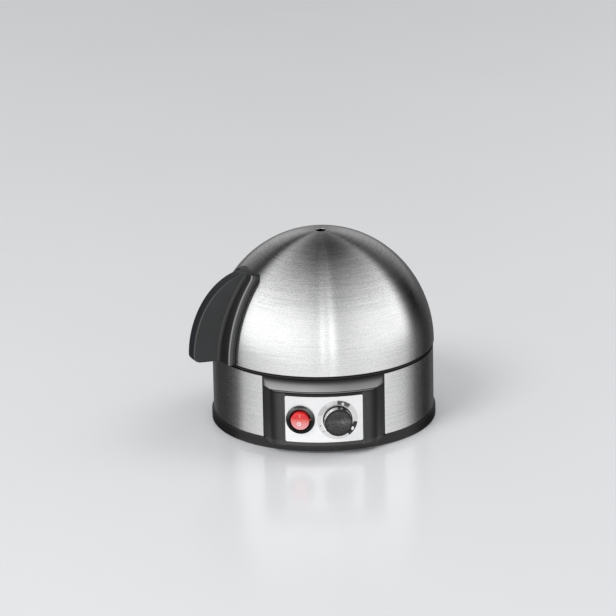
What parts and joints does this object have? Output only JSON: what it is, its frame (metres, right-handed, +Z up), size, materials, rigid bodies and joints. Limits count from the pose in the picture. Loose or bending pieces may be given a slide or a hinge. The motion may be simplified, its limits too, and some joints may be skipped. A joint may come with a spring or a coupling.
{
  "type": "electric egg cooker",
  "caption": "Countertop egg cooker: round steel-banded base with water bowl, rocker switch and dial, lift-out egg tray, and a domed steel lid with a side fin handle and steam hole.",
  "frame": {"origin": "where the dome's axis meets the plane that the base stands on", "axes": "+Z up along the dome's axis; -Y towards the user, where the control panel is; +X to the user's right"},
  "size_m": [0.1993, 0.2011, 0.1572],
  "materials": {
    "brushed_steel": "brushed round the axis",
    "black_plastic": "fine satin",
    "panel_plastic": "satin",
    "handle_plastic": "satin",
    "tray_plastic": "satin",
    "silver_plate": "satin silver",
    "switch_plastic": "semi-gloss",
    "red_rocker": "translucent red",
    "knob_plastic": "satin, spun front",
    "chrome": "polished",
    "rubber": "matt",
    "silicone": "matt",
    "bowl_steel": "pressed, matt",
    "tube_steel": "heat-darkened",
    "aluminium": "satin",
    "zinc_steel": "zinc-plated",
    "brass": "bright",
    "inner_plastic": "matt",
    "board_green": "solder mask",
    "relay_blue": "smooth"
  },
  "bodies": {
    "base": {"base_housing": "black_plastic", "steel_band": "brushed_steel", "bottom_cover": "black_plastic", "foot_pads": "rubber", "cover_screws": "zinc_steel", "cord_gland": "black_plastic", "upper_ring": "black_plastic", "ring_screws": "zinc_steel", "heating_bowl": "bowl_steel", "bowl_seal": "silicone", "clamp_ring": "zinc_steel", "clamp_screws": "zinc_steel", "heat_plate": "aluminium", "heating_tube": "tube_steel", "thermostat": "inner_plastic", "thermal_fuse": "brass", "control_housing": "panel_plastic", "face_plate": "silver_plate", "switch_body": "switch_plastic", "switch_terminals": "brass", "dial_control": "zinc_steel", "dial_nut": "zinc_steel", "circuit_board": "board_green", "board_screws": "zinc_steel", "relay": "relay_blue", "capacitor": "inner_plastic", "buzzer": "inner_plastic"},
    "tray": {"egg_tray": "tray_plastic"},
    "lid": {"lid_dome": "brushed_steel", "lid_handle": "handle_plastic", "handle_screws": "zinc_steel"},
    "rocker": {"switch_rocker": "red_rocker"},
    "dial": {"knob": "knob_plastic", "knob_ring": "chrome", "knob_cap": "knob_plastic", "dial_shaft": "aluminium"}
  },
  "joints": [
    {"name": "tray_lift", "type": "slide", "parent": "base", "child": "tray", "axis": [0, 0, 1], "range_m": [0, 0.07]},
    {"name": "lid_lift", "type": "slide", "parent": "tray", "child": "lid", "axis": [0, 0, 1], "range_m": [0, 0.12]},
    {"name": "rocker_swing", "type": "hinge", "parent": "base", "child": "rocker", "pos_m": [-0.01855, -0.09541, 0.0298], "axis": [-0.9816, 0.1908, 0], "range_deg": [0, 16]},
    {"name": "dial_turn", "type": "hinge", "parent": "base", "child": "dial", "pos_m": [0.01078, -0.09761, 0.0298], "axis": [-0.1097, 0.994, 0], "range_deg": [0, 270]}
  ]
}
